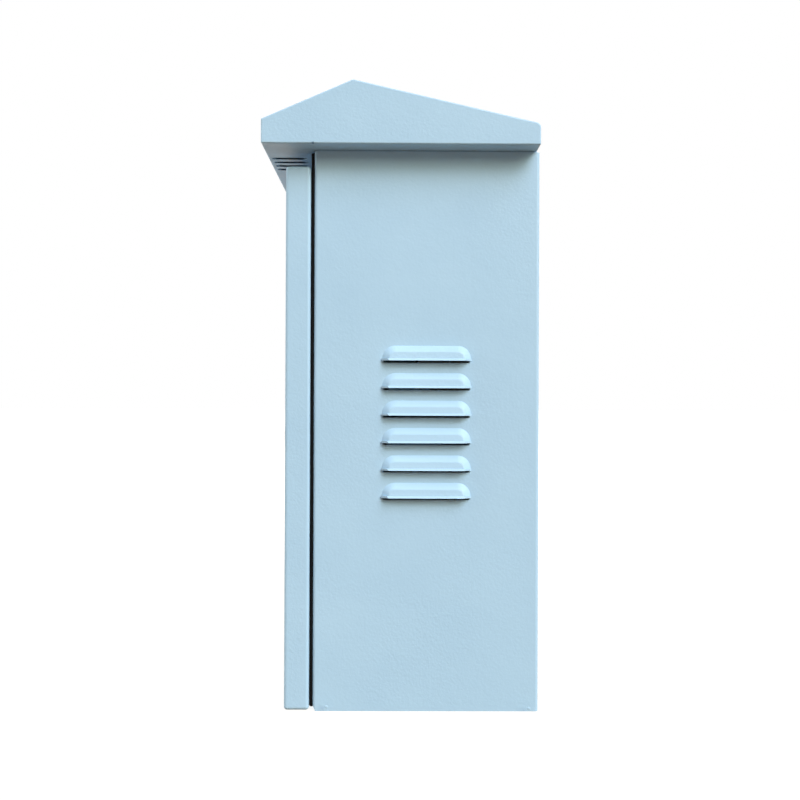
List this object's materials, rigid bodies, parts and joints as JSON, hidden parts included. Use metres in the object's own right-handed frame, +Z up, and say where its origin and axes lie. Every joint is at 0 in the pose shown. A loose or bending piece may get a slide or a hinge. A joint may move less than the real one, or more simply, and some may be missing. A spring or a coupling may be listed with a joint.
{
  "type": "roadside utility cabinet",
  "caption": "Small outdoor sheet-steel utility cabinet with a gabled rain hood, louvred sides and a hinged lockable door over a breaker panel.",
  "frame": {"origin": "under the middle of the cabinet's outline, on the surface it stands on", "axes": "+Z up; the door faces -Y; +X is to the right as seen from the front"},
  "size_m": [0.44, 0.2216, 0.5005],
  "materials": {
    "powder_coat": "fine textured powder coat",
    "galvanised": "zinc coated sheet",
    "fasteners": "zinc plated",
    "brass": "bright brass",
    "gasket_foam": "foamed rubber",
    "grommet_rubber": "moulded rubber",
    "breaker_case": "moulded, pale grey",
    "breaker_toggle": "moulded, black",
    "insulator": "moulded, blue",
    "lock_zinc": "satin plated die casting"
  },
  "bodies": {
    "cabinet": {"body_wrapper": "powder_coat", "top_plate": "powder_coat", "bottom_plate": "powder_coat", "roof_hood": "powder_coat", "gland_plate": "powder_coat", "mounting_plate": "galvanised", "mounting_rail": "galvanised", "earth_supports": "galvanised", "roof_bolts": "fasteners", "roof_nuts": "fasteners", "plate_studs": "fasteners", "plate_spacers": "fasteners", "plate_nuts": "fasteners", "rail_screws": "fasteners", "breaker_terminal_screws": "fasteners", "bar_screws": "fasteners", "gland_plate_screws": "fasteners", "lower_hinge_frame_leaf": "fasteners", "lower_hinge_pin": "fasteners", "upper_hinge_frame_leaf": "fasteners", "upper_hinge_pin": "fasteners", "neutral_bar": "brass", "earth_bar": "brass", "body_earth_stud": "brass", "body_earth_nut": "brass", "lower_hinge_washer": "brass", "upper_hinge_washer": "brass", "door_gasket": "gasket_foam", "gland_plate_gasket": "gasket_foam", "cable_grommet_1": "grommet_rubber", "cable_grommet_2": "grommet_rubber", "cable_grommet_3": "grommet_rubber", "main_breaker": "breaker_case", "left_rail_stop": "breaker_case", "right_rail_stop": "breaker_case", "branch_breaker_1": "breaker_case", "branch_breaker_2": "breaker_case", "branch_breaker_3": "breaker_case", "branch_breaker_4": "breaker_case", "branch_breaker_5": "breaker_case", "branch_breaker_6": "breaker_case", "neutral_insulators": "insulator"},
    "door": {"door_panel": "powder_coat", "door_stiffener": "powder_coat", "lock_housing": "lock_zinc", "lock_nut": "lock_zinc", "door_earth_stud": "brass", "door_earth_nut": "brass", "lower_hinge_door_leaf": "fasteners", "upper_hinge_door_leaf": "fasteners"},
    "lock": {"lock_core": "lock_zinc", "lock_cam": "fasteners", "lock_cam_screw": "fasteners"},
    "main_toggle_lever": {"main_toggle": "breaker_toggle"},
    "branch_toggle_lever_1": {"branch_toggle_1": "breaker_toggle"},
    "branch_toggle_lever_2": {"branch_toggle_2": "breaker_toggle"},
    "branch_toggle_lever_3": {"branch_toggle_3": "breaker_toggle"},
    "branch_toggle_lever_4": {"branch_toggle_4": "breaker_toggle"},
    "branch_toggle_lever_5": {"branch_toggle_5": "breaker_toggle"},
    "branch_toggle_lever_6": {"branch_toggle_6": "breaker_toggle"}
  },
  "joints": [
    {"name": "door_hinge", "type": "hinge", "parent": "cabinet", "child": "door", "pos_m": [-0.2065, -0.0717, 0.21875], "axis": [0, 0, -1], "range_deg": [0, 120]},
    {"name": "lock_turn", "type": "hinge", "parent": "door", "child": "lock", "pos_m": [0.15, -0.0672, 0.21875], "axis": [0, -1, 0], "range_deg": [0, 90]},
    {"name": "main_toggle_throw", "type": "hinge", "parent": "cabinet", "child": "main_toggle_lever", "pos_m": [-0.054, 0.0208, 0.285], "axis": [-1, 0, 0], "range_deg": [0, 70]},
    {"name": "branch_toggle_throw_1", "type": "hinge", "parent": "cabinet", "child": "branch_toggle_lever_1", "pos_m": [-0.018, 0.0208, 0.285], "axis": [-1, 0, 0], "range_deg": [0, 70]},
    {"name": "branch_toggle_throw_2", "type": "hinge", "parent": "cabinet", "child": "branch_toggle_lever_2", "pos_m": [0, 0.0208, 0.285], "axis": [-1, 0, 0], "range_deg": [0, 70]},
    {"name": "branch_toggle_throw_3", "type": "hinge", "parent": "cabinet", "child": "branch_toggle_lever_3", "pos_m": [0.018, 0.0208, 0.285], "axis": [-1, 0, 0], "range_deg": [0, 70]},
    {"name": "branch_toggle_throw_4", "type": "hinge", "parent": "cabinet", "child": "branch_toggle_lever_4", "pos_m": [0.036, 0.0208, 0.285], "axis": [-1, 0, 0], "range_deg": [0, 70]},
    {"name": "branch_toggle_throw_5", "type": "hinge", "parent": "cabinet", "child": "branch_toggle_lever_5", "pos_m": [0.054, 0.0208, 0.285], "axis": [-1, 0, 0], "range_deg": [0, 70]},
    {"name": "branch_toggle_throw_6", "type": "hinge", "parent": "cabinet", "child": "branch_toggle_lever_6", "pos_m": [0.072, 0.0208, 0.285], "axis": [-1, 0, 0], "range_deg": [0, 70]}
  ]
}
